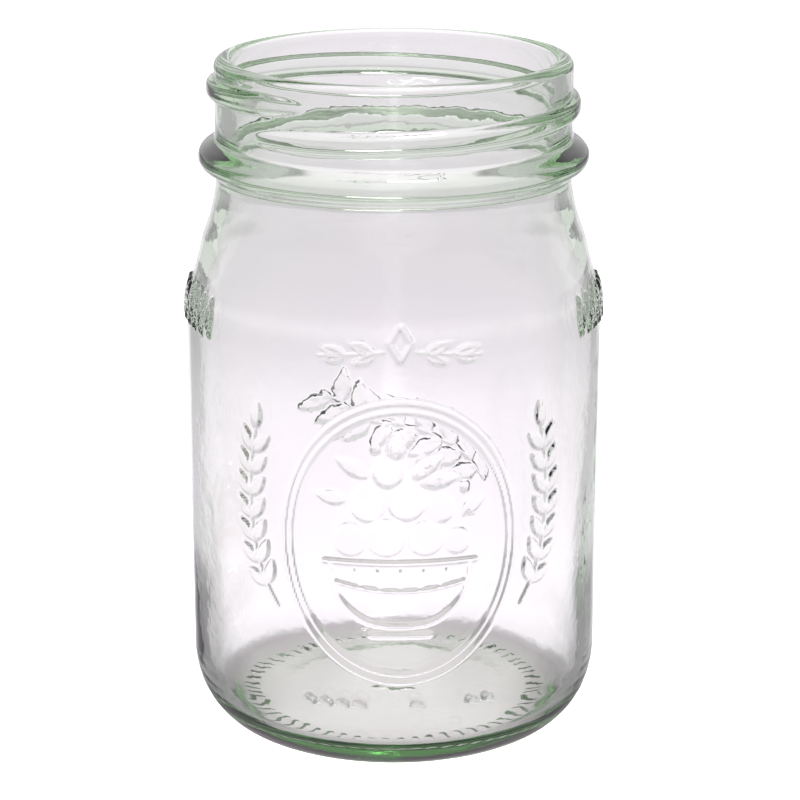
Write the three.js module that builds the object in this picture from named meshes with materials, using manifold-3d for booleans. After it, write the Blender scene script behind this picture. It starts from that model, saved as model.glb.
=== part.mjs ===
// A one-pint mason jar with a 70 mm mouth, and the two-piece closure that belongs to it.
//
// Frame: millimetres, +Z up, origin on the jar's axis in the plane that the jar stands on.
// The jar stands open. Its closure lies beside it, towards -X, as it is put down during
// canning: the screw band upside down on its flange, and the lid inside it, seal upwards.

import * as THREE from 'three';
import { mergeVertices } from 'three/addons/utils/BufferGeometryUtils.js';
import Module from 'manifold-3d';

const wasm = await Module();
wasm.setup();

// ---------------------------------------------------------------- driving dimensions

const jarHeight = 128.5;
const bodyRadius = 39.0;          // at the widest place, just under the shoulder
const bodyTaper = 0.2;            // the body is this much narrower, on the radius, at the heel
const bodyWall = 2.6;
const baseThickness = 4.4;
const shoulderHeight = 80.5;      // where the body starts to draw in

const neckRadius = 33.2;          // outside wall between rim and bead
const mouthRadius = 30.1;         // inside wall of the mouth
const threadRadius = 35.0;        // crest of the thread
const threadLead = 6.35;          // rise for each full turn, four turns to the inch
const threadMidHeight = 121.4;    // height of the crest at the back of the jar
const threadStart = -50;          // degrees from the front, where the thread comes out of the wall
const threadEnd = 333;            // degrees from the front, where it goes back into it
const threadRunOut = 30;          // degrees over which each end sinks into the wall

const beadRadius = 36.45;         // the heavy ring under the thread
const beadHeight = 110.3;
const beadHalfHeight = 2.8;

const heelWidth = 10.8;           // the rounded heel's reach inwards from the body wall
const heelHeight = 14.8;
const restingRingWidth = 2.4;
const baseRecess = 0.6;           // the underside's flat panel stands this far off the table

const sheet = 0.4;                // tinplate of the band and the lid, doubled from the real 0.2
const bandRadius = 36.2;          // outside wall of the band
const bandHeight = 17.0;
const bandHoleRadius = 30.2;      // the hole in the flange
const bandCurl = 0.9;             // the rolled edge's radius
const bandThreadDepth = 1.3;      // how far the rolled thread stands in from the wall
const bandThreadFoot = 5.6;       // height of its start above the flange
const bandThreadTurn = 410;       // degrees that it runs round

const lidRadius = 34.1;
const lidRimHeight = 1.6;
const lidChannelRadius = 28.6;    // inner edge of the channel that holds the sealing compound
const lidPanelRise = 0.7;         // the centre panel is this much shallower than the channel
const sealHeight = 0.8;

const closureX = -118;            // centre of the closure on the table
const gap = 0.3;                  // left between pieces that touch
const turnSteps = 60;             // facets round each turned piece

// ---------------------------------------------------------------- helpers

const degrees = Math.PI / 180;
const point = (r, z) => new THREE.Vector2(r, z);

// Angle 0 is the front, towards -Y, and angles grow towards +X.
const aroundAxis = (r, angle, z) =>
  new THREE.Vector3(r * Math.sin(angle * degrees), -r * Math.cos(angle * degrees), z);

// Points of an elliptical arc about a centre, from one angle to another.
function arcPoints(centre, reachR, reachZ, from, to, steps) {
  const points = [];
  for (let i = 0; i <= steps; i += 1) {
    const angle = (from + (to - from) * (i / steps)) * degrees;
    points.push(point(centre.x + reachR * Math.cos(angle), centre.y + reachZ * Math.sin(angle)));
  }
  return points;
}

// Points of a smooth curve through the given ones, without its two ends.
const curvePoints = (points, steps) => new THREE.SplineCurve(points).getPoints(steps).slice(1, -1);

function welded(geometry) {
  geometry.deleteAttribute('normal');
  geometry.deleteAttribute('uv');
  return mergeVertices(geometry, 1e-4);
}

// A turned body: three.js turns a profile about Y, so it is laid over to stand on Z.
function turned(profile) {
  const geometry = new THREE.LatheGeometry(profile, turnSteps);
  geometry.rotateX(Math.PI / 2);
  return welded(geometry);
}

function toSolid(geometry) {
  const mesh = new wasm.Mesh({
    numProp: 3,
    vertProperties: new Float32Array(geometry.attributes.position.array),
    triVerts: new Uint32Array(geometry.index.array),
  });
  return new wasm.Manifold(mesh);
}

function toGeometry(solid) {
  const mesh = solid.getMesh();
  const geometry = new THREE.BufferGeometry();
  geometry.setAttribute('position', new THREE.BufferAttribute(mesh.vertProperties, 3));
  geometry.setIndex(new THREE.BufferAttribute(mesh.triVerts, 1));
  return geometry;
}

// Rises from 0 to 1 as t does, with level ends.
function smooth(t) {
  const s = Math.min(Math.max(t, 0), 1);
  return s * s * (3 - 2 * s);
}

function piece(name, geometry, color, roughness, metalness) {
  const mesh = new THREE.Mesh(geometry, new THREE.MeshStandardMaterial({ color, roughness, metalness }));
  mesh.name = name;
  return mesh;
}

// ---------------------------------------------------------------- the jar

function jarOutside() {
  const restingRadius = bodyRadius - bodyTaper - heelWidth;
  const restingInner = restingRadius - restingRingWidth;
  const panelEdge = 1.6;
  const beadReach = beadRadius - neckRadius;
  const lip = 1.7;
  const lipRadius = neckRadius + 0.1;

  const base = [
    point(0, baseRecess),
    point(restingInner - panelEdge, baseRecess),
    point(restingInner, 0),
  ];
  const heel = arcPoints(point(restingRadius, heelHeight), heelWidth, heelHeight, -90, 0, 8);
  const shoulder = curvePoints([
    point(bodyRadius, shoulderHeight),
    point(bodyRadius - 0.25, shoulderHeight + 4.5),
    point(37.15, 89.9),
    point(35.8, 95.2),
    point(34.4, 99.2),
    point(33.5, 103.2),
    point(neckRadius - 0.05, 105.6),
  ], 9);
  const bead = arcPoints(point(neckRadius, beadHeight), beadReach, beadHalfHeight, -90, 90, 8);
  const rim = arcPoints(point(lipRadius - lip, jarHeight - lip), lip, lip, 0, 90, 3);
  return [...base, ...heel, point(bodyRadius, shoulderHeight), ...shoulder, ...bead, ...rim];
}

function jarInside() {
  const insideRadius = bodyRadius - bodyWall;
  const floorHeight = baseRecess + baseThickness;
  const floorCrown = 0.4;
  const cornerReach = 4.5;
  const cornerRise = 6.0;
  const innerLip = 0.8;
  const mouthFoot = 107;

  const rim = arcPoints(point(mouthRadius + innerLip, jarHeight - innerLip), innerLip, innerLip, 90, 180, 2);
  const shoulder = curvePoints([
    point(mouthRadius, mouthFoot),
    point(30.6, 102.5),
    point(31.7, 98.5),
    point(33.2, 94.5),
    point(34.7, 89.5),
    point(36.1, 85),
    point(insideRadius, shoulderHeight - 1.5),
  ], 8);
  const corner = arcPoints(point(insideRadius - cornerReach, floorHeight + cornerRise),
    cornerReach, cornerRise, 0, -90, 6);
  return [
    ...rim,
    point(mouthRadius, mouthFoot),
    ...shoulder,
    point(insideRadius, shoulderHeight - 1.5),
    ...corner,
    point(0, floorHeight + floorCrown),
  ];
}

// The thread is a round rope of glass, half buried in the wall. Its ends sink right in.
function jarThread() {
  const ropeRadius = 2.0;
  const sunk = 2.3;
  const ropeSteps = 52;
  const places = [];
  for (let i = 0; i <= ropeSteps; i += 1) {
    const angle = threadStart + (threadEnd - threadStart) * (i / ropeSteps);
    const fromEnd = Math.min(angle - threadStart, threadEnd - angle);
    const buried = sunk * (1 - smooth(fromEnd / threadRunOut));
    const height = threadMidHeight + threadLead * (angle - 180) / 360;
    places.push(aroundAxis(threadRadius - ropeRadius - buried, angle, height));
  }
  const section = new THREE.Shape();
  section.absarc(0, 0, ropeRadius, 0, 2 * Math.PI);
  return welded(new THREE.ExtrudeGeometry(section, {
    curveSegments: 9,
    steps: ropeSteps,
    extrudePath: new THREE.CatmullRomCurve3(places),
  }));
}

// What the buried ends of the thread must not fill: the bore of the mouth, and more above it.
function mouthBore() {
  const foot = jarHeight - 25;
  const top = jarHeight + 5;
  return turned([point(0, foot), point(mouthRadius, foot), point(mouthRadius, top), point(0, top)]);
}

function glassJar() {
  const body = toSolid(turned([...jarOutside(), ...jarInside()]));
  const thread = toSolid(jarThread()).subtract(toSolid(mouthBore()));
  return piece('glass_jar', toGeometry(body.add(thread)), 0xdfe8e0, 0.03, 0);
}

// ---------------------------------------------------------------- the screw band

// How far the rolled thread stands in from the wall, at an angle and a height above the flange.
// It has the jar thread's lead, and fades out at both ends.
function bandThreadPush(angle, height) {
  const halfWidth = 2.2;
  const fade = 40;
  let push = 0;
  for (let along = angle; along < bandThreadTurn; along += 360) {
    const shown = smooth(along / fade) * smooth((bandThreadTurn - along) / fade);
    const crest = bandThreadFoot + threadLead * along / 360;
    const off = Math.min(Math.abs(height - crest) / halfWidth, 1);
    push = Math.max(push, bandThreadDepth * shown * (0.5 + 0.5 * Math.cos(Math.PI * off)));
  }
  return push;
}

function bandProfile() {
  const corner = 1.6;
  const wallTop = bandHeight - 2 * bandCurl;
  const wallSteps = 10;
  const cornerCentre = point(bandRadius - corner, corner);
  const curlCentre = point(bandRadius, bandHeight - bandCurl);
  const heights = [];
  for (let i = 1; i <= wallSteps; i += 1) {
    heights.push(corner + (wallTop - corner) * (i / wallSteps));
  }
  return [
    point(bandHoleRadius, sheet / 2),
    point(bandHoleRadius + sheet / 2, 0),
    ...arcPoints(cornerCentre, corner, corner, -90, 0, 3),
    ...heights.map((z) => point(bandRadius, z)),
    ...arcPoints(curlCentre, bandCurl, bandCurl, -80, 170, 6),
    ...heights.map((z) => point(bandRadius - sheet, z)).reverse(),
    ...arcPoints(cornerCentre, corner - sheet, corner - sheet, 0, -90, 2),
    point(bandHoleRadius + sheet / 2, sheet),
    point(bandHoleRadius, sheet / 2),
  ];
}

function screwBand() {
  const geometry = turned(bandProfile());
  const place = geometry.attributes.position;
  for (let i = 0; i < place.count; i += 1) {
    const x = place.getX(i);
    const y = place.getY(i);
    const r = Math.hypot(x, y);
    const angle = (Math.atan2(x, -y) / degrees + 360) % 360;
    const push = r > lidRadius ? bandThreadPush(angle, place.getZ(i)) : 0;
    place.setX(i, x * (r - push) / r);
    place.setY(i, y * (r - push) / r);
  }
  return piece('screw_band', geometry, 0xc9ccd0, 0.28, 1);
}

// ---------------------------------------------------------------- the lid and its seal

// The lid lies with its outer face down, its channel resting on the band's flange.
function lidDisc() {
  const floor = sheet + gap;
  const panel = floor + lidPanelRise;
  const round = 0.3;
  const step = 1.0;
  const channelEdge = lidChannelRadius;
  return piece('lid_disc', turned([
    point(0, panel),
    point(channelEdge - step, panel),
    point(channelEdge, floor),
    point(lidRadius - round, floor),
    point(lidRadius, floor + round),
    point(lidRadius, floor + lidRimHeight),
    point(lidRadius - sheet, floor + lidRimHeight),
    point(lidRadius - sheet, floor + sheet),
    point(channelEdge + sheet / 2, floor + sheet),
    point(channelEdge + sheet / 2 - step, panel + sheet),
    point(0, panel + sheet),
  ]), 0xf1eee6, 0.35, 0.1);
}

function sealingRing() {
  const foot = sheet + gap + sheet + gap;
  const round = 0.8;
  const inner = lidChannelRadius + gap + 0.3;
  const outer = lidRadius - sheet - gap;
  return piece('sealing_ring', turned([
    point(inner, foot),
    point(outer, foot),
    point(outer, foot + sealHeight / 2),
    point(outer - round, foot + sealHeight),
    point(inner + round, foot + sealHeight),
    point(inner, foot + sealHeight / 2),
    point(inner, foot),
  ]), 0x8d4a3a, 0.6, 0);
}

// ---------------------------------------------------------------- the set

const closure = new THREE.Group();
closure.position.x = closureX;
closure.add(screwBand(), lidDisc(), sealingRing());

const masonJar = new THREE.Group();
masonJar.add(glassJar(), closure);

export default masonJar;
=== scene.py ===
"""Looks of a mason jar and its two-piece closure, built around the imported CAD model.

The jar is one closed mesh of clear glass: a turned profile whose surface is refined where
raised ornament, thread and foot ribs need it. Shapes are worked out in millimetres and
become metres when a mesh is made. Angles round an axis start at the front (-Y) and grow
towards +X.
"""
import math

import bmesh
import bpy
import numpy as np
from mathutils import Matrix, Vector


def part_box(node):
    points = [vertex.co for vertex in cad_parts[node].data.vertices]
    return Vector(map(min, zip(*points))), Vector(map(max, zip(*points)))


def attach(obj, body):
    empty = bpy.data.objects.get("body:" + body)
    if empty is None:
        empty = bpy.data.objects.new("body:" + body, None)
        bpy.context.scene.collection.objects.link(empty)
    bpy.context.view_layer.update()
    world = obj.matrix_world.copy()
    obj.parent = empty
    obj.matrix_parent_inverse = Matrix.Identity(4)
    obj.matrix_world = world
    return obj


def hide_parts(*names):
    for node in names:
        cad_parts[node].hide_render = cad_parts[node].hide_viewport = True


MM = 0.001

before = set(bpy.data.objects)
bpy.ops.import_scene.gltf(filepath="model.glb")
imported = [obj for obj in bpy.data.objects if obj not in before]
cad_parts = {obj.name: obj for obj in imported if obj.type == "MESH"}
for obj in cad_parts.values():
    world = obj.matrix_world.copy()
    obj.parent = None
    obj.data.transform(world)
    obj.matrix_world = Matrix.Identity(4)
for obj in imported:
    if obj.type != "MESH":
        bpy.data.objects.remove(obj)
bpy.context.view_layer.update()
jar_low, jar_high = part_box("glass_jar")
band_low, band_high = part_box("screw_band")
lid_low, lid_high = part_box("lid_disc")
seal_low, seal_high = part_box("sealing_ring")

# ---------------------------------------------------------------- driving dimensions, in mm

JAR_HEIGHT = jar_high.z / MM
BODY_RADIUS = jar_high.x / MM
BODY_TAPER = 0.2               # the body is this much narrower, on the radius, at the heel
BODY_WALL = 2.35
HEEL_WALL = 2.45               # the wall thickens towards the heel
SHOULDER = 80.5
NECK_RADIUS = 33.2
MOUTH_RADIUS = 30.1
LIP = 1.7                      # rounding of the rim's outer edge
INNER_LIP = 0.8                # and of its inner edge
THREAD_HEIGHT = 1.6
THREAD_LEAD = 6.35
THREAD_MID = 121.4
THREAD_START = -50
THREAD_END = 333
BEAD_RADIUS = 36.45
BEAD_HEIGHT = 110.3
BEAD_HALF = 2.8
HEEL_WIDTH = 10.8
HEEL_HEIGHT = 14.8
REST_RADIUS = BODY_RADIUS - BODY_TAPER - HEEL_WIDTH
REST_INNER = REST_RADIUS - 1.7
PANEL_RADIUS = REST_INNER - 6.0
BASE_RECESS = 0.4
FLOOR_HEIGHT = 5.2
FLOOR_CROWN = 0.4              # the inside floor is this much higher in the middle
CORNER_REACH = 5.0             # the inside corner between wall and floor, sideways
CORNER_RISE = 10.0             # and upwards
RELIEF = 0.48                  # how far the ornament stands out of the wall
FRONT = 1.8                    # the angle of the front's ornament, in degrees
WALL_FOOT = 8                  # the wall's ornament and waves lie between this height
WALL_TOP = 100                 # and this one

CLOSURE_X = (band_low.x + band_high.x) / 2 / MM
TINPLATE = 0.3                 # thickness of the sheet
BAND_CURL = 0.9                # radius of the band's rolled edge
BAND_RADIUS = (band_high.x - band_low.x) / 2 / MM - BAND_CURL
BAND_HEIGHT = (band_high.z - band_low.z) / MM
BAND_CORNER = 1.6
BAND_HOLE = 30.2
BAND_THREAD_DEPTH = 1.3
BAND_THREAD_FOOT = 5.6         # height of the rolled thread's start
BAND_THREAD_TURN = 410         # degrees that it runs round
LID_RADIUS = 34.1
LID_FOOT = lid_low.z / MM
LID_HEIGHT = (lid_high.z - lid_low.z) / MM
LID_CHANNEL = 28.6             # inner edge of the channel that holds the compound
LID_PANEL = 0.7                # height of the centre panel over the channel
SEAL_FOOT = seal_low.z / MM
SEAL_HEIGHT = (seal_high.z - seal_low.z) / MM


# ---------------------------------------------------------------- curves

def arc(centre, reach, start, end, steps):
    """Points of an elliptical arc, its angles in degrees from the outward direction."""
    turn = np.radians(np.linspace(start, end, steps + 1))
    r = centre[0] + reach[0] * np.cos(turn)
    z = centre[1] + reach[1] * np.sin(turn)
    return np.column_stack([r, z])


def smooth_through(points, steps=12):
    """A Catmull-Rom curve through the points, with this many steps between each two."""
    p = np.asarray(points, float)
    p = np.vstack([2 * p[0] - p[1], p, 2 * p[-1] - p[-2]])
    t = np.linspace(0, 1, steps, endpoint=False)[:, None]
    parts = []
    for a, b, c, d in zip(p, p[1:], p[2:], p[3:]):
        parts.append(0.5 * (2 * b + (c - a) * t + (2 * a - 5 * b + 4 * c - d) * t**2
                            + (3 * b - a - 3 * c + d) * t**3))
    return np.vstack([*parts, p[-2]])


def resample(points, step):
    """The same line with its points about this far apart."""
    points = np.asarray(points, float)
    along = np.concatenate([[0], np.cumsum(np.hypot(*np.diff(points, axis=0).T))])
    count = max(int(round(along[-1] / step)), 1)
    at = np.linspace(0, along[-1], count + 1)
    return np.column_stack([np.interp(at, along, points[:, k]) for k in range(points.shape[1])])


def smoothstep(t):
    t = np.clip(t, 0, 1)
    return t * t * (3 - 2 * t)


# ---------------------------------------------------------------- the jar's profile

def outer_sections():
    """The outside, from the underside's centre to the top of the rim, as stretches of the profile,
    each with the spacing of its rows."""
    mark_edge = (5, BASE_RECESS)
    panel = smooth_through([
        (PANEL_RADIUS - 2, BASE_RECESS), (PANEL_RADIUS, BASE_RECESS), (REST_INNER - 3.0, 0.5 * BASE_RECESS),
        (REST_INNER, 0.04), (REST_INNER + 1.2, 0), (REST_RADIUS, 0)])[12:]
    heel = arc((REST_RADIUS, HEEL_HEIGHT), (HEEL_WIDTH, HEEL_HEIGHT), -90, 0, 40)
    body = [(BODY_RADIUS - 0.1, 50), (BODY_RADIUS, SHOULDER)]
    flank = []                     # half of the bead's section: reach from the neck, height from the crest
    for reach, rise in ((0.03, 1.42), (0.12, 1.16), (0.40, 0.93), (0.74, 0.66), (0.95, 0.32)):
        flank.append((NECK_RADIUS + reach * (BEAD_RADIUS - NECK_RADIUS), rise * BEAD_HALF))
    bead = smooth_through([
        (NECK_RADIUS, BEAD_HEIGHT - 2.1 * BEAD_HALF), *[(r, BEAD_HEIGHT - z) for r, z in flank],
        (BEAD_RADIUS, BEAD_HEIGHT), *[(r, BEAD_HEIGHT + z) for r, z in flank[::-1]],
        (NECK_RADIUS, BEAD_HEIGHT + 2.1 * BEAD_HALF)], 6)[6:-6]
    shoulder = smooth_through([
        (BODY_RADIUS, SHOULDER - 2), (BODY_RADIUS, SHOULDER), (BODY_RADIUS - 0.28, SHOULDER + 4),
        (37.15, 89.9), (35.8, 95.2), (34.4, 99.2), (33.5, 103.2), (33.2, 105.2),
        bead[0]])[12:]
    neck = [(NECK_RADIUS, BEAD_HEIGHT + 1.9 * BEAD_HALF), (NECK_RADIUS + 0.1, JAR_HEIGHT - LIP)]
    lip = arc((NECK_RADIUS + 0.1 - LIP, JAR_HEIGHT - LIP), (LIP, LIP), 0, 90, 10)
    return [
        ([(0, BASE_RECESS), mark_edge], 0.6),
        ([mark_edge, panel[0]], 3.0),
        (panel, 0.6),
        (heel[:14], 0.5),
        (heel[13:], 0.8),
        ([heel[-1], *body], 1.5),
        (shoulder, 0.9),
        (bead, 0.5),
        ([bead[-1], *neck], 0.5),
        (lip, 0.35)]


def inner_sections(rim):
    """The inside, from the given outer edge of the rim's flat top down to the middle of the floor."""
    lip = arc((MOUTH_RADIUS + INNER_LIP, JAR_HEIGHT - INNER_LIP), (INNER_LIP, INNER_LIP), 90, 180, 6)
    inside = BODY_RADIUS - BODY_WALL
    neck = [lip[-1], (MOUTH_RADIUS + 0.05, 107)]
    shoulder = smooth_through([
        (MOUTH_RADIUS, 115), (MOUTH_RADIUS + 0.05, 107), (30.6, 102.5), (31.7, 98.5), (33.2, 94.5),
        (34.85, 89.5), (36.2, 84.5), (inside, 79), (inside, 72)])[12:-12]
    heel_inside = BODY_RADIUS - BODY_TAPER - HEEL_WALL
    corner_top = FLOOR_HEIGHT + CORNER_RISE
    corner = arc((heel_inside - CORNER_REACH, corner_top), (CORNER_REACH, CORNER_RISE), 0, -90, 30)
    wall = smooth_through([
        (inside, 82), (inside, 72), (inside, 40), (inside - 0.12, 26), (heel_inside + 0.12, corner_top + 4),
        corner[0], corner[3]])[12:-12]
    return [
        ([rim, lip[0]], 0.6),
        (lip, 0.4),
        (neck, 0.8),
        (shoulder, 1.5),
        (wall, 3.0),
        (corner, 0.8),
        ([corner[-1], (0, FLOOR_HEIGHT + FLOOR_CROWN)], 2.4)]


def jar_profile():
    """Rows of (radius, height) from the underside's centre, over the outside, to the inside floor.
    Returns the rows and the number of the last one that is outside."""
    outer = outer_sections()
    inner = inner_sections(outer[-1][0][-1])
    rows = [np.array([[0, BASE_RECESS]])]
    rows += [resample(line, step)[1:] for line, step in outer]
    outside = sum(len(part) for part in rows) - 1
    rows += [resample(line, step)[1:] for line, step in inner]
    return np.vstack(rows), outside


# ---------------------------------------------------------------- ornament

class Ornament:
    """Raised lines, leaves and fruit on the wall, drawn flat about a centre: u runs to the right
    as seen from outside, v runs up, both in mm."""

    def __init__(self, angle, height, lift=RELIEF):
        self.angle = angle
        self.height = height
        self.lift = lift
        self.lines = []
        self.leaves = []
        self.rounds = []

    def line(self, points, width=1.1):
        self.lines.append((resample(points, 0.8), width / 2))

    def leaf(self, foot, direction, length, width):
        turn = math.radians(direction)
        way = np.array([math.cos(turn), math.sin(turn)])
        self.leaves.append((np.array(foot, float), way, length, width / 2))

    def round(self, centre, radius):
        self.rounds.append((np.array(centre, float), radius))

    def local(self, angle, z):
        off = (np.degrees(angle) - self.angle + 180) % 360 - 180
        return np.column_stack([np.radians(off) * BODY_RADIUS, z - self.height])

    def shapes(self):
        """Each shape as (lowest corner, highest corner, kind, the shape's own values)."""
        for points, half in self.lines:
            yield points.min(0) - half, points.max(0) + half, "line", (points, half)
        for foot, way, length, half in self.leaves:
            tips = np.array([foot, foot + way * length])
            yield tips.min(0) - half, tips.max(0) + half, "leaf", (foot, way, length, half)
        for centre, radius in self.rounds:
            yield centre - radius, centre + radius, "round", (centre, radius)

    def inside(self, kind, data, p):
        """How far each point lies inside the shape's edge, in mm; negative outside it."""
        if kind == "line":
            points, half = data
            best = np.full(len(p), 1e9)
            for a, b in zip(points, points[1:]):
                ab = b - a
                t = np.clip(((p - a) @ ab) / (ab @ ab), 0, 1)
                best = np.minimum(best, np.hypot(*(p - a - t[:, None] * ab).T))
            return half - best
        if kind == "round":
            centre, radius = data
            return radius - np.hypot(*(p - centre).T)
        foot, way, length, half = data
        along = (p - foot) @ way
        across = np.abs((p - foot) @ np.array([-way[1], way[0]]))
        t = np.clip(along / length, 0, 1)
        out = np.maximum(np.maximum(-along, along - length), 0)
        return half * np.sin(np.pi * t**0.8) - across - out

    def relief(self, kind, data, p, depth):
        """How far each point is raised, from 0 to 1, by its depth inside the shape's edge."""
        edge = 0.55
        if kind == "line":
            return smoothstep(depth / (0.9 * data[1]))
        if kind == "round":
            dome = 0.6 + 0.4 * np.sqrt(np.clip(depth / data[1], 0, 1))
            return smoothstep(depth / edge) * dome
        foot, way = data[:2]
        across = np.abs((p - foot) @ np.array([-way[1], way[0]]))
        vein = 0.55 * np.exp(-((across / 0.22) ** 2))
        return smoothstep(depth / edge) * (1 - vein)

    def measure(self, angle, z):
        """For each point of the wall: the relief, from 0 to 1, and the distance to the nearest edge."""
        p = self.local(angle, z)
        height = np.zeros(len(p))
        near = np.full(len(p), 1e9)
        reach = 2.0
        for low, high, kind, data in self.shapes():
            mine = np.flatnonzero(((p > low - reach) & (p < high + reach)).all(1))
            if not len(mine):
                continue
            depth = self.inside(kind, data, p[mine])
            height[mine] = np.maximum(height[mine], self.relief(kind, data, p[mine], depth))
            if kind == "line":
                near[mine] = np.minimum(near[mine], np.maximum(-depth, 0))
            else:
                near[mine] = np.minimum(near[mine], np.abs(depth))
        return height, near


def medallion():
    """The front: an oval ring with a bowl of fruit in it, between two leafy sprays."""
    o = Ornament(FRONT, 46.4)
    turn = np.radians(np.linspace(0, 360, 73))
    ring_width, ring_height = 22.0, 26.6
    for part in (1.0, 0.94):
        o.line(part * np.column_stack([ring_width * np.sin(turn), ring_height * np.cos(turn)]), 1.15)
    # the bowl
    bowl = [(-13, -4), (-11.5, -10), (-6.5, -14.6), (0, -15.6), (6.5, -14.6), (11.5, -10), (13, -4)]
    o.line(smooth_through(bowl, 6), 1.1)
    o.line([(-14, -3.6), (14, -3.6)], 1.5)
    o.line(smooth_through([(-12.4, -7.4), (-6, -8.6), (0, -9), (6, -8.6), (12.4, -7.4)], 6), 0.9)
    o.line([(-5.4, -17.4), (5.4, -17.4)], 1.2)
    for x in (-8.4, -4.2, 0, 4.2, 8.4):
        o.line([(x, -5), (x * 0.86, -8)], 0.8)
    # the fruit
    for x, y, radius in ((-9.2, 0.9, 3.5), (-2.6, 1.4, 3.9), (4.6, 1.2, 3.6), (10.4, 0.4, 2.8),
                         (-5.9, 7.4, 3.4), (1.1, 7.9, 3.6), (7.2, 6.6, 2.9), (-2.2, 13.4, 2.9)):
        o.round((x, y), radius)
    for foot, way, length in (((2.2, 12.4), 38, 7.4), ((3.4, 11.4), 8, 7.8), ((-5.6, 12.6), 150, 7.6),
                              ((-9.6, 8.2), 172, 6.6), ((11, 5.6), 30, 5.6), ((-1.2, 15.8), 80, 5.4)):
        o.leaf(foot, way, length, 3.0)
    # an upright spray on each side of the ring
    for side in (-1, 1):
        stem = smooth_through([(side * 23.6, -14), (side * 27.2, -8), (side * 29.4, 0), (side * 29.8, 10),
                               (side * 28.4, 19)], 6)
        o.line(stem, 0.8)
        stem = resample(stem, 4.4)
        for a, b in zip(stem[1:], stem[2:]):
            grow = math.degrees(math.atan2(b[1] - a[1], b[0] - a[0]))
            o.leaf(a, grow + 38, 6.2, 2.9)
            o.leaf(a, grow - 38, 6.2, 2.9)
        o.leaf(stem[-1], 90 + side * 8, 6.0, 2.9)
    return o


def back_branch():
    """The back: a bough across the wall, with broad leaves and a few berries."""
    o = Ornament(178, 45, lift=0.7)
    bough = smooth_through([(-19, -9), (-11, -3), (-2, 0.5), (8, 2.5), (17, 9.5)], 8)
    o.line(bough, 1.2)
    bough = resample(bough, 5.2)
    for number, (a, b) in enumerate(zip(bough, bough[1:])):
        grow = math.degrees(math.atan2(b[1] - a[1], b[0] - a[0]))
        o.leaf(a, grow + 52, 9.0, 4.2)
        o.leaf(0.5 * (a + b), grow - 50, 8.4, 4.0)
        if number % 2:
            o.round(a + np.array([1.6, -5.6]), 1.6)
    return o


def side_mark(angle):
    """A row of upright lozenges under the shoulder."""
    o = Ornament(angle, 83.4, lift=0.62)
    for step in range(-3, 4):
        x = step * 3.6
        o.line([(x, -3.4), (x + 1.1, 0), (x, 3.4), (x - 1.1, 0), (x, -3.4)], 1.1)
    return o


def front_spray():
    """Over the medallion: a lozenge between two pairs of leaves, which grow away from it on a low
    arch."""
    o = Ornament(FRONT, 83.2)
    o.line([(0, -2.6), (2.0, 0.6), (0, 3.8), (-2.0, 0.6), (0, -2.6)], 1.3)
    for side in (-1, 1):
        for step, lean in ((4.4, 24), (9.6, 14)):
            foot = (side * step, -1.2 - 0.05 * step)
            o.leaf(foot, 90 - side * (90 - lean), 5.6, 2.8)
            o.leaf(foot, 90 - side * (90 + lean), 5.0, 2.4)
        o.line([(side * 3.2, -0.9), (side * 14.6, -1.9)], 0.9)
    return o


def heel_dots():
    """A row of small drops low on the front, in three groups."""
    o = Ornament(FRONT, 15.2, lift=1.25)
    for x in (-17.0, -13.8, -10.6, -7.4, 3.2, 13.6, 16.8):
        o.round((x - 0.5, 0.4), 1.15)
        o.round((x + 0.6, 0.0), 1.0)
    return o


def ornaments():
    """All the marks on the wall."""
    return [medallion(), front_spray(), heel_dots(), back_branch(), side_mark(-76), side_mark(78)]


# ---------------------------------------------------------------- the jar's surface

def thread_ridge(angle, z):
    """The screw thread before it is cut off by the wall: how far it stands out, in mm. Its ends
    sink into the wall, so the value falls below zero there and beside the ridge."""
    half_width = 2.15
    run_out = 30
    turn = np.degrees(angle) % 360
    ridge = np.full(len(turn), -9.0)
    for wrap in (-360, 0, 360):
        at = turn + wrap
        from_end = np.minimum(at - THREAD_START, THREAD_END - at)
        sunk = THREAD_HEIGHT * (1 - smoothstep(from_end / run_out) ** 0.7)
        crest = THREAD_MID + THREAD_LEAD * (at - 180) / 360
        off = np.minimum(np.abs(z - crest) / half_width, 1)
        shape = THREAD_HEIGHT * (1 - off**3.5)
        ridge = np.maximum(ridge, np.where(from_end > -6, shape - sunk, -9.0))
    return ridge


def thread_relief(angle, z):
    """How far the thread lifts the neck's surface, in mm, with a small fillet along its foot."""
    fillet = 0.14
    ridge = np.maximum(thread_ridge(angle, z), 0)
    return ridge**2 / (ridge + fillet)


def foot_ribs(angle, r):
    """How far the heel's underside is cut in between the ribs that the jar stands on, in mm."""
    ribs = 62
    depth = 0.26
    bend = 1.1 * ((r - REST_RADIUS) / 2.4) ** 2
    wave = 0.5 + 0.5 * np.cos(ribs * angle + bend)
    window = smoothstep((r - (REST_INNER - 0.4)) / 0.9) * smoothstep((REST_RADIUS + 2.2 - r) / 1.4)
    return depth * (1 - smoothstep(2.0 * wave - 0.2)) * window


def panel_mark(angle, r):
    """A small five-petalled mark pressed into the middle of the underside, in mm."""
    depth = 0.3
    reach = 3.4 + 0.8 * np.cos(5 * angle)
    return depth * smoothstep((reach - r) / 0.8) * smoothstep((r - 1.0) / 0.8)


def level_streaks(angle, z):
    """Level streaks that the mould leaves round the heel and the bead, in mm; they only cut in."""
    streaks = 0.022 * np.sin(2.3 * z + 3 * angle) + 0.016 * np.sin(3.7 * z - 5 * angle + 1)
    heel = smoothstep((z - 1.5) / 2) * smoothstep((24 - z) / 8)
    bead = 0.7 * smoothstep(1.6 - np.abs(z - BEAD_HEIGHT + 0.6) / BEAD_HALF)
    return (streaks - 0.038) * (heel + bead)


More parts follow.
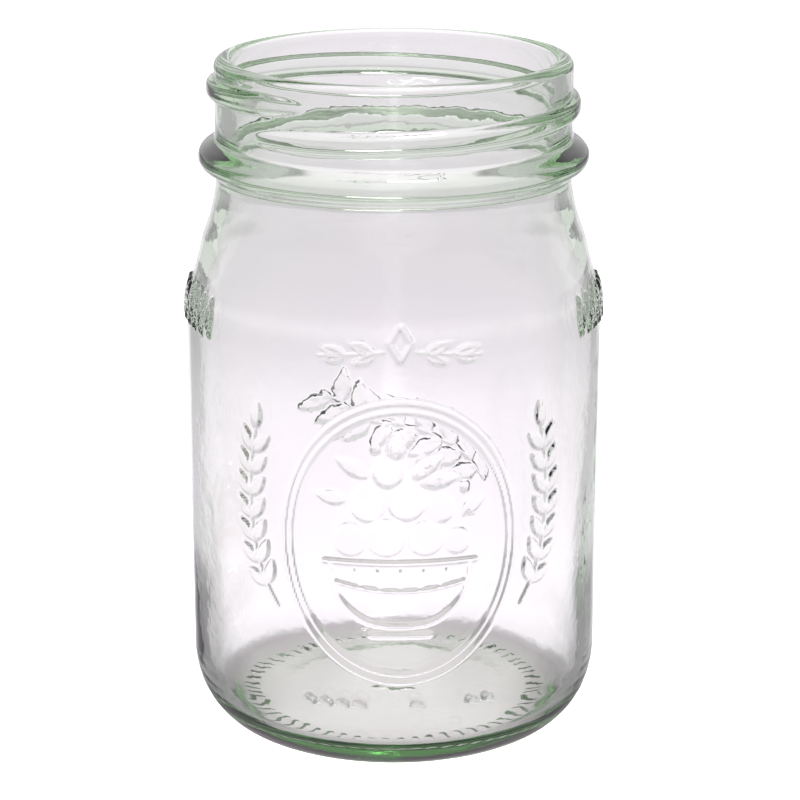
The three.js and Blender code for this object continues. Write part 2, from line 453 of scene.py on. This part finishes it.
def inner_waves(angle, z):
    """Slow unevenness of the blown inside wall, in mm."""
    body = (0.07 * np.sin(3 * angle + 0.045 * z) + 0.05 * np.sin(7 * angle - 0.09 * z + 1.3)
            + 0.035 * np.sin(13 * angle + 0.05 * z + 2.1))
    neck = (0.006 * np.sin(31 * angle + 0.7 * z) + 0.006 * np.sin(1.1 * z - 23 * angle + 1)
            + 0.010 * np.sin(9 * angle + 0.9 * z + 0.5))
    return (body * smoothstep((z - WALL_FOOT) / 10) * smoothstep((WALL_TOP - z) / 12)
            + neck * smoothstep((z - WALL_TOP) / 5) * smoothstep((JAR_HEIGHT - 2 - z) / 4))


def on_profile(bm, rows, layer):
    """The jar's vertices, with the place of each along the profile, its angle, radius and height."""
    verts = list(bm.verts)
    s = np.array([v[layer] for v in verts])
    xy = np.array([v.co[:2] for v in verts])
    angle = np.arctan2(xy[:, 0], -xy[:, 1])
    at = np.arange(len(rows))
    r = np.interp(s, at, rows[:, 0])
    z = np.interp(s, at, rows[:, 1])
    return verts, s, angle, r, z


def glass_surface(bm, rows, outside, layer, marks):
    """Puts each vertex on the jar's surface by its place along the profile and round the axis."""
    verts, s, angle, r, z = on_profile(bm, rows, layer)
    at = np.arange(len(rows))
    slope = np.gradient(rows, axis=0)
    normal = np.column_stack([slope[:, 1], -slope[:, 0]])
    normal /= np.maximum(np.hypot(*normal.T), 1e-9)[:, None]
    n_r = np.interp(s, at, normal[:, 0])
    n_z = np.interp(s, at, normal[:, 1])
    out = s < outside
    push = np.zeros(len(s))
    wall = np.flatnonzero(out & (z > WALL_FOOT) & (z < WALL_TOP))
    for mark in marks:
        push[wall] = np.maximum(push[wall], mark.lift * mark.measure(angle[wall], z[wall])[0])
    neck = np.flatnonzero(out & (z > 112))
    push[neck] += thread_relief(angle[neck], z[neck]) * np.abs(n_r[neck])
    streaked = np.flatnonzero(out & (z > 1) & (r > NECK_RADIUS - 1))
    push[streaked] += level_streaks(angle[streaked], z[streaked])
    inner = ~out
    push[inner] += inner_waves(angle[inner], z[inner])
    r_new = r + push * n_r
    z_new = z + push * n_z
    middle = np.flatnonzero(out & (r < 6) & (z < 2))
    z_new[middle] += panel_mark(angle[middle], r[middle])
    foot = np.flatnonzero(out & (z < 4) & (r > REST_INNER - 0.5))
    cut = foot_ribs(angle[foot], r[foot])
    r_new[foot] -= cut * n_r[foot]
    z_new[foot] -= cut * n_z[foot]
    for v, radius, turn, up in zip(verts, r_new, angle, z_new):
        v.co = (radius * math.sin(turn) * MM, -radius * math.cos(turn) * MM, up * MM)


def refine(bm, rows, outside, layer, marks, margin, thread_and_foot=False):
    """Halves the mesh edges that lie within the margin, in mm, of an edge of the ornament and, where
    asked for, those on the thread and among the foot's ribs."""
    verts, s, angle, r, z = on_profile(bm, rows, layer)
    wanted = np.zeros(len(s), bool)
    wall = np.flatnonzero((s < outside) & (z > WALL_FOOT) & (z < WALL_TOP))
    for mark in marks:
        wanted[wall] |= mark.measure(angle[wall], z[wall])[1] < margin
    if thread_and_foot:
        wanted |= (s < outside) & (z < 1.0) & (r > REST_INNER - 0.5)
        neck = np.flatnonzero((s < outside) & (z > BEAD_HEIGHT + BEAD_HALF))
        wanted[neck] |= thread_ridge(angle[neck], z[neck]) > -0.5
    for v, yes in zip(verts, wanted):
        v.tag = bool(yes)
    edges = [e for e in bm.edges if e.verts[0].tag or e.verts[1].tag]
    bmesh.ops.subdivide_edges(bm, edges=edges, cuts=1, use_grid_fill=True)


def glass_jar():
    """The jar: the profile turned about the axis, refined, and moved onto its final surface."""
    columns = 180
    rows, outside = jar_profile()
    bm = bmesh.new()
    layer = bm.verts.layers.float.new("profile")
    rings = []
    for number, (r, z) in enumerate(rows):
        count = columns if r > 1e-6 else 1
        ring = []
        for k in range(count):
            turn = 2 * math.pi * k / columns
            v = bm.verts.new((r * math.sin(turn), -r * math.cos(turn), z))
            v[layer] = number
            ring.append(v)
        rings.append(ring)
    for a, b in zip(rings, rings[1:]):
        for k in range(columns):
            m = (k + 1) % columns
            corners = [a[k % len(a)], a[m % len(a)], b[m % len(b)], b[k % len(b)]]
            bm.faces.new(list(dict.fromkeys(corners)))
    marks = ornaments()
    refine(bm, rows, outside, layer, marks, margin=1.15, thread_and_foot=True)
    refine(bm, rows, outside, layer, marks, margin=0.42)
    glass_surface(bm, rows, outside, layer, marks)
    bmesh.ops.recalc_face_normals(bm, faces=bm.faces)
    for face in bm.faces:
        face.smooth = True
    mesh = bpy.data.meshes.new("glass_jar_fine")
    bm.to_mesh(mesh)
    bm.free()
    piece = bpy.data.objects.new("glass_jar_fine", mesh)
    bpy.context.scene.collection.objects.link(piece)
    return piece


# ---------------------------------------------------------------- the closure

def turned_piece(name, outline, columns, push=None):
    """A piece turned about the closure's axis from its section's outline, which runs from axis to
    axis or closes on itself. push(angle, r, z) says how far each point moves in towards the axis."""
    rows = np.asarray(outline, float)
    closed = rows[0, 0] > 1e-6
    turn = 2 * np.pi * np.arange(columns) / columns
    places = []
    rings = []
    for r, z in rows:
        at = turn if r > 1e-6 else turn[:1]
        radius = r - (push(at, r, z) if push else 0)
        rings.append(len(places) + np.arange(len(at)))
        places += list(np.column_stack([
            CLOSURE_X + radius * np.sin(at), -radius * np.cos(at), np.full(len(at), z)]) * MM)
    faces = []
    for a, b in zip(rings, [*rings[1:], rings[0]] if closed else rings[1:]):
        for k in range(columns):
            m = (k + 1) % columns
            corners = [a[k % len(a)], a[m % len(a)], b[m % len(b)], b[k % len(b)]]
            faces.append([int(c) for c in dict.fromkeys(corners)])
    mesh = bpy.data.meshes.new(name)
    mesh.from_pydata(places, [], faces)
    bm = bmesh.new()
    bm.from_mesh(mesh)
    bmesh.ops.recalc_face_normals(bm, faces=bm.faces)
    for face in bm.faces:
        face.smooth = True
    bm.to_mesh(mesh)
    bm.free()
    made = bpy.data.objects.new(name, mesh)
    bpy.context.scene.collection.objects.link(made)
    return made


def band_thread(angle, r, z):
    """The thread rolled into the band's wall, in the jar thread's lead, fading out at both ends."""
    half_width = 2.2
    fade = 40
    push = np.zeros(len(angle))
    if r < LID_RADIUS:
        return push
    for wrap in (0, 360):
        along = np.degrees(angle) + wrap
        shown = smoothstep(along / fade) * smoothstep((BAND_THREAD_TURN - along) / fade)
        off = np.minimum(np.abs(z - BAND_THREAD_FOOT - THREAD_LEAD * along / 360) / half_width, 1)
        push = np.maximum(push, BAND_THREAD_DEPTH * shown * (0.5 + 0.5 * np.cos(np.pi * off)))
    return push


def screw_band():
    """The band, lying on its flange: hemmed hole, flange with a pressed ring, round corner, wall
    and rolled edge."""
    hem = 0.3
    pressed = 0.11
    wall_top = BAND_HEIGHT - 2 * BAND_CURL
    corner_r = BAND_RADIUS - BAND_CORNER
    ring = [(31.5, 0), (31.9, pressed), (33.0, pressed), (33.4, 0)]
    under = smooth_through([(BAND_HOLE + hem + 0.3, 0), *ring, (corner_r, 0)], 4)
    over = smooth_through([(corner_r, TINPLATE), *[(r, z + TINPLATE) for r, z in ring[::-1]],
                           (BAND_HOLE + hem + 0.7, TINPLATE), (BAND_HOLE + hem + 0.2, 2 * hem - 0.06)], 4)
    outline = [
        *arc((BAND_HOLE + hem, hem), (hem, hem), 80, 270, 10),
        *under,
        *arc((corner_r, BAND_CORNER), (BAND_CORNER, BAND_CORNER), -90, 0, 8)[1:],
        *resample([(BAND_RADIUS, BAND_CORNER), (BAND_RADIUS, wall_top)], 0.38)[1:],
        *arc((BAND_RADIUS, BAND_HEIGHT - BAND_CURL), (BAND_CURL, BAND_CURL), -84, 186, 22),
        *resample([(BAND_RADIUS - TINPLATE, wall_top), (BAND_RADIUS - TINPLATE, BAND_CORNER)], 0.38),
        *arc((corner_r, BAND_CORNER), (BAND_CORNER - TINPLATE, BAND_CORNER - TINPLATE), 0, -90, 8)[1:-1],
        *over]
    return turned_piece("screw_band_fine", outline, 240, band_thread)


def lid_disc():
    """The lid, lying on its outer face: a panel with two pressed rings, a channel and a rim."""
    channel = LID_FOOT
    panel = LID_FOOT + LID_PANEL
    top = LID_FOOT + LID_HEIGHT
    round_off = 0.35
    pressed = 0.16
    rings = []
    for r in (18.4, 24.6):
        rings += [(r - 0.7, panel), (r - 0.2, panel + pressed), (r + 0.2, panel + pressed), (r + 0.7, panel)]
    step = [
        (LID_CHANNEL - 1.3, panel), (LID_CHANNEL - 0.9, panel - 0.06), (LID_CHANNEL - 0.3, channel + 0.1),
        (LID_CHANNEL + 0.2, channel)]
    under = smooth_through([(10, panel), *rings, *step, (LID_CHANNEL + 1.2, channel)], 4)
    lip = TINPLATE / 2
    outer_corner = arc((LID_RADIUS - round_off, channel + round_off), (round_off, round_off), -90, 0, 6)
    rim = arc((LID_RADIUS - lip, top - lip), (lip, lip), 0, 180, 8)
    inner_corner = arc((LID_RADIUS - round_off, channel + round_off),
                       (round_off - TINPLATE + 0.1, round_off - TINPLATE + 0.1), 0, -90, 3)
    over = under[::-1] + np.array([0, TINPLATE])
    outline = [(0, panel), (4, panel), *under, (LID_RADIUS - 2, channel), *outer_corner, *rim,
               (LID_RADIUS - TINPLATE, channel + 0.7), *(inner_corner + np.array([-0.1, 0.1])),
               (LID_RADIUS - 2, channel + TINPLATE), *over, (4, panel + TINPLATE), (0, panel + TINPLATE)]
    return turned_piece("lid_disc_fine", outline, 180)


def sealing_ring():
    """The ring of compound in the lid's channel, flowed in: higher at its middle, thin at its edges."""
    inner = LID_CHANNEL + 0.6
    outer = LID_RADIUS - 0.7
    middle = (inner + outer) / 2
    half = (outer - inner) / 2
    edge = 0.12
    crown = []
    for t in np.linspace(1, -1, 25):
        crown.append((middle + half * t, SEAL_FOOT + edge + (SEAL_HEIGHT - edge) * (1 - t**4) ** 0.5))
    flat = [(inner, SEAL_FOOT), (middle, SEAL_FOOT), (outer, SEAL_FOOT)]
    return turned_piece("sealing_ring_fine", [*flat, *crown], 180)


# ---------------------------------------------------------------- materials

def new_material(name):
    m = bpy.data.materials.new(name)
    m.use_nodes = True
    nodes = m.node_tree.nodes
    return m, nodes, m.node_tree.links, nodes["Principled BSDF"], nodes["Material Output"]


def speckle(nodes, links, scale, low, high):
    """A fine noise between two values."""
    noise = nodes.new("ShaderNodeTexNoise")
    noise.inputs["Scale"].default_value = scale
    noise.inputs["Detail"].default_value = 3.0
    where = nodes.new("ShaderNodeTexCoord")
    links.new(where.outputs["Object"], noise.inputs["Vector"])
    spread = nodes.new("ShaderNodeMapRange")
    spread.inputs["To Min"].default_value = low
    spread.inputs["To Max"].default_value = high
    links.new(noise.outputs["Fac"], spread.inputs["Value"])
    return spread.outputs["Result"]


def bumped(nodes, links, shader, height, distance):
    """Gives a shader a bumpy surface of this depth, in metres."""
    bump = nodes.new("ShaderNodeBump")
    bump.inputs["Strength"].default_value = 0.5
    bump.inputs["Distance"].default_value = distance
    links.new(height, bump.inputs["Height"])
    links.new(bump.outputs["Normal"], shader.inputs["Normal"])


def jar_glass():
    """Clear green-edged glass, its surface faintly uneven from the mould."""
    m, nodes, links, shader, output = new_material("jar_glass")
    bumped(nodes, links, shader, speckle(nodes, links, 160, 0.0, 1.0), 0.0001)
    shader.inputs["Base Color"].default_value = (1, 0.965, 1, 1)
    shader.inputs["Roughness"].default_value = 0.0
    shader.inputs["IOR"].default_value = 1.52
    shader.inputs["Transmission Weight"].default_value = 1.0
    volume = nodes.new("ShaderNodeVolumeAbsorption")
    volume.inputs["Color"].default_value = (0.25, 0.585, 0.18, 1)
    volume.inputs["Density"].default_value = 50.0
    links.new(volume.outputs["Volume"], output.inputs["Volume"])
    path = nodes.new("ShaderNodeLightPath")
    clear = nodes.new("ShaderNodeBsdfTransparent")
    clear.inputs["Color"].default_value = (0.95, 0.97, 0.95, 1)
    mix = nodes.new("ShaderNodeMixShader")
    links.new(path.outputs["Is Shadow Ray"], mix.inputs["Fac"])
    links.new(shader.outputs["BSDF"], mix.inputs[1])
    links.new(clear.outputs["BSDF"], mix.inputs[2])
    links.new(mix.outputs["Shader"], output.inputs["Surface"])
    return m


def band_tinplate():
    """Bare tinplate, unevenly bright."""
    m, nodes, links, shader, output = new_material("band_tinplate")
    shader.inputs["Base Color"].default_value = (0.74, 0.73, 0.70, 1)
    shader.inputs["Metallic"].default_value = 1.0
    links.new(speckle(nodes, links, 420, 0.20, 0.34), shader.inputs["Roughness"])
    bumped(nodes, links, shader, speckle(nodes, links, 900, 0.0, 1.0), 0.00001)
    return m


def lid_enamel():
    """White enamel on the lid's inner face."""
    m, nodes, links, shader, output = new_material("lid_enamel")
    shader.inputs["Base Color"].default_value = (0.72, 0.70, 0.65, 1)
    links.new(speckle(nodes, links, 300, 0.26, 0.40), shader.inputs["Roughness"])
    bumped(nodes, links, shader, speckle(nodes, links, 700, 0.0, 1.0), 0.00002)
    return m


def seal_compound():
    """Matte red-brown sealing compound."""
    m, nodes, links, shader, output = new_material("seal_compound")
    shader.inputs["Base Color"].default_value = (0.27, 0.075, 0.045, 1)
    links.new(speckle(nodes, links, 260, 0.48, 0.62), shader.inputs["Roughness"])
    bumped(nodes, links, shader, speckle(nodes, links, 500, 0.0, 1.0), 0.00004)
    return m


# ---------------------------------------------------------------- the studio

def math_node(nodes, links, operation, *inputs):
    node = nodes.new("ShaderNodeMath")
    node.operation = operation
    for socket, value in zip(node.inputs, inputs):
        if isinstance(value, (int, float)):
            socket.default_value = value
        else:
            links.new(value, socket)
    return node.outputs[0]


def ramp_node(nodes, links, value, stops):
    """A colour ramp with straight stretches between its stops, each (position, grey level)."""
    ramp = nodes.new("ShaderNodeValToRGB")
    elements = ramp.color_ramp.elements
    while len(elements) < len(stops):
        elements.new(0.5)
    for element, (position, level) in zip(elements, stops):
        element.position = position
        element.color = (level, level, level, 1)
    links.new(value, ramp.inputs["Fac"])
    return ramp.outputs["Color"]


CAST = (1.065, 1.0, 1.085, 1)        # the faint lilac of the studio's light
CAST_UNDER = (1.13, 1.0, 1.12, 1)    # and of what it leaves under the jar
CAST_EDGE = 0.038                    # the radius that parts the two, in metres


def multiplied(nodes, links, a, b):
    """The product of two colours."""
    mix = nodes.new("ShaderNodeMix")
    mix.data_type = "RGBA"
    mix.blend_type = "MULTIPLY"
    mix.clamp_result = False
    mix.inputs["Factor"].default_value = 1.0
    links.new(a, mix.inputs["A"])
    links.new(b, mix.inputs["B"])
    return mix.outputs["Result"]


def painted_floor_shade(nodes, links):
    """Painted light and shade on the table as the glass shows it, worked out from the place on the table: a
    glow that falls off towards the back and far away, painted shade under the jar with a darker painted
    contact shadow round its foot, painted shade beside the jar near it, and the lilac of the light.
    """
    where = nodes.new("ShaderNodeNewGeometry")
    split = nodes.new("ShaderNodeSeparateXYZ")
    links.new(where.outputs["Position"], split.inputs["Vector"])
    length = nodes.new("ShaderNodeVectorMath")
    length.operation = "LENGTH"
    links.new(where.outputs["Position"], length.inputs[0])
    radius = length.outputs["Value"]
    depth = math_node(nodes, links, "MAXIMUM", split.outputs["Y"], 0.0)
    # painted light: the table's glow falls off towards the back
    backward = ramp_node(nodes, links, depth, [
        (0.0, 0.96), (0.07, 0.87), (0.22, 0.77), (0.255, 0.69), (0.29, 0.64), (0.42, 0.62), (0.8, 0.62),
        (1.0, 0.58)])
    # painted shade under the jar, with a darker painted contact shadow ring round its foot
    under = ramp_node(nodes, links, math_node(nodes, links, "MULTIPLY", radius, 10.0), [
        (0.0, 0.70), (0.25, 0.68), (0.29, 0.50), (0.35, 0.42), (0.39, 0.52), (0.44, 0.90), (0.6, 1.0)])
    # painted light: and falls off far from the jar
    far = ramp_node(nodes, links, math_node(nodes, links, "MULTIPLY", radius, 0.4), [
        (0.0, 1.0), (0.3, 1.0), (0.7, 0.75)])
    # painted shade: a strip that widens to the back stays light; beside it, near the jar, the table is
    # painted darker, and lighter again farther away
    from_middle = math_node(nodes, links, "ABSOLUTE", split.outputs["X"])
    widening = math_node(nodes, links, "MULTIPLY", depth, 0.45)
    aside = math_node(nodes, links, "SUBTRACT", from_middle, widening)
    near = ramp_node(nodes, links, aside, [(0.020, 1.0), (0.044, 0.26)])
    away = ramp_node(nodes, links, radius, [(0.07, 0.0), (0.12, 0.56)])
    beside = math_node(nodes, links, "MAXIMUM", near, away)
    cast = nodes.new("ShaderNodeMix")
    cast.data_type = "RGBA"
    cast.inputs["A"].default_value = CAST_UNDER
    cast.inputs["B"].default_value = CAST
    links.new(math_node(nodes, links, "GREATER_THAN", radius, CAST_EDGE), cast.inputs["Factor"])
    tones = backward
    for part in (under, far, beside, cast.outputs["Result"]):
        tones = multiplied(nodes, links, tones, part)
    return tones


def studio_floor():
    """A pale table. Seen directly it is white; seen through the glass it is a glow painted with light and
    shade, darker far away and under the jar, with a painted contact shadow round its foot."""
    size = 6.0
    corners = [(-size, -size, 0), (size, -size, 0), (size, size, 0), (-size, size, 0)]
    mesh = bpy.data.meshes.new("floor")
    mesh.from_pydata(corners, [], [(0, 1, 2, 3)])
    floor = bpy.data.objects.new("floor", mesh)
    bpy.context.scene.collection.objects.link(floor)
    m, nodes, links, shader, output = new_material("pale_table")
    nodes.remove(shader)
    # what the glass shows: a glow coloured with the painted light and shade
    painted_shade_glow = nodes.new("ShaderNodeEmission")
    painted_shade_glow.inputs["Strength"].default_value = 1.48
    links.new(painted_floor_shade(nodes, links), painted_shade_glow.inputs["Color"])
    paper = nodes.new("ShaderNodeBsdfDiffuse")
    paper.inputs["Color"].default_value = (0.85, 0.85, 0.85, 1)
    glow = nodes.new("ShaderNodeEmission")
    glow.inputs["Strength"].default_value = 0.70
    both = nodes.new("ShaderNodeAddShader")
    links.new(paper.outputs["BSDF"], both.inputs[0])
    links.new(glow.outputs["Emission"], both.inputs[1])
    path = nodes.new("ShaderNodeLightPath")
    mix = nodes.new("ShaderNodeMixShader")
    links.new(path.outputs["Is Camera Ray"], mix.inputs["Fac"])
    links.new(painted_shade_glow.outputs["Emission"], mix.inputs[1])
    links.new(both.outputs["Shader"], mix.inputs[2])
    links.new(mix.outputs["Shader"], output.inputs["Surface"])
    floor.data.materials.append(m)


def studio_world():
    """A dim room, so that thick glass has something dark to show; white where it is seen directly."""
    world = bpy.data.worlds.new("studio")
    bpy.context.scene.world = world
    world.use_nodes = True
    nodes, links = world.node_tree.nodes, world.node_tree.links
    background = nodes["Background"]
    where = nodes.new("ShaderNodeTexCoord")
    split = nodes.new("ShaderNodeSeparateXYZ")
    links.new(where.outputs["Generated"], split.inputs["Vector"])
    room = ramp_node(nodes, links, split.outputs["Z"], [
        (0.0, 0.66), (0.30, 0.50), (0.6, 0.22), (0.8, 0.22), (1.0, 0.4)])
    sweep = ramp_node(nodes, links, split.outputs["Z"], [
        (0.0, 0.95), (0.42, 0.90), (0.58, 0.35), (0.66, 0.18), (0.8, 0.18), (1.0, 0.4)])
    behind = nodes.new("ShaderNodeMix")
    behind.data_type = "RGBA"
    backward = ramp_node(nodes, links, split.outputs["Y"], [(0.35, 0.0), (0.6, 1.0)])
    links.new(backward, behind.inputs["Factor"])
    links.new(room, behind.inputs["A"])
    links.new(sweep, behind.inputs["B"])
    path = nodes.new("ShaderNodeLightPath")
    mix = nodes.new("ShaderNodeMix")
    mix.data_type = "RGBA"
    links.new(path.outputs["Is Camera Ray"], mix.inputs["Factor"])
    links.new(behind.outputs["Result"], mix.inputs["A"])
    mix.inputs["B"].default_value = (1, 1, 1, 1)
    links.new(mix.outputs["Result"], background.inputs["Color"])


def softbox(name, place, aim, size, power):
    """A rectangular lamp at a place, turned towards its aim."""
    data = bpy.data.lights.new(name, "AREA")
    data.shape = "RECTANGLE"
    data.size, data.size_y = size
    data.energy = power
    lamp = bpy.data.objects.new(name, data)
    bpy.context.scene.collection.objects.link(lamp)
    lamp.location = place
    lamp.rotation_euler = (Vector(aim) - Vector(place)).to_track_quat("-Z", "Y").to_euler()


def camera():
    """A camera at the photograph's viewing angle."""
    down = 16.42
    data = bpy.data.cameras.new("camera")
    data.sensor_width = 36
    data.lens = 132.21
    data.clip_end = 20
    eye = bpy.data.objects.new("camera", data)
    bpy.context.scene.collection.objects.link(eye)
    eye.location = (0.00116, -0.5384, 0.2208)
    eye.rotation_euler = (math.radians(90 - down), 0, 0)
    bpy.context.scene.camera = eye


# ---------------------------------------------------------------- the scene

scene = bpy.context.scene
scene.view_settings.view_transform = "Standard"
scene.cycles.max_bounces = 24
scene.cycles.transmission_bounces = 24
scene.cycles.glossy_bounces = 12

camera()
studio_floor()
studio_world()
softbox("overhead", (0.1, 0.0, 1.1), (0, 0, 0.05), (0.34, 0.26), 9)

jar = glass_jar()
jar.data.materials.append(jar_glass())
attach(jar, "jar")
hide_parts("glass_jar")

for make, body, node, material in (
        (screw_band, "band", "screw_band", band_tinplate),
        (lid_disc, "lid", "lid_disc", lid_enamel),
        (sealing_ring, "lid", "sealing_ring", seal_compound)):
    made = make()
    made.data.materials.append(material())
    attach(made, body)
    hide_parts(node)
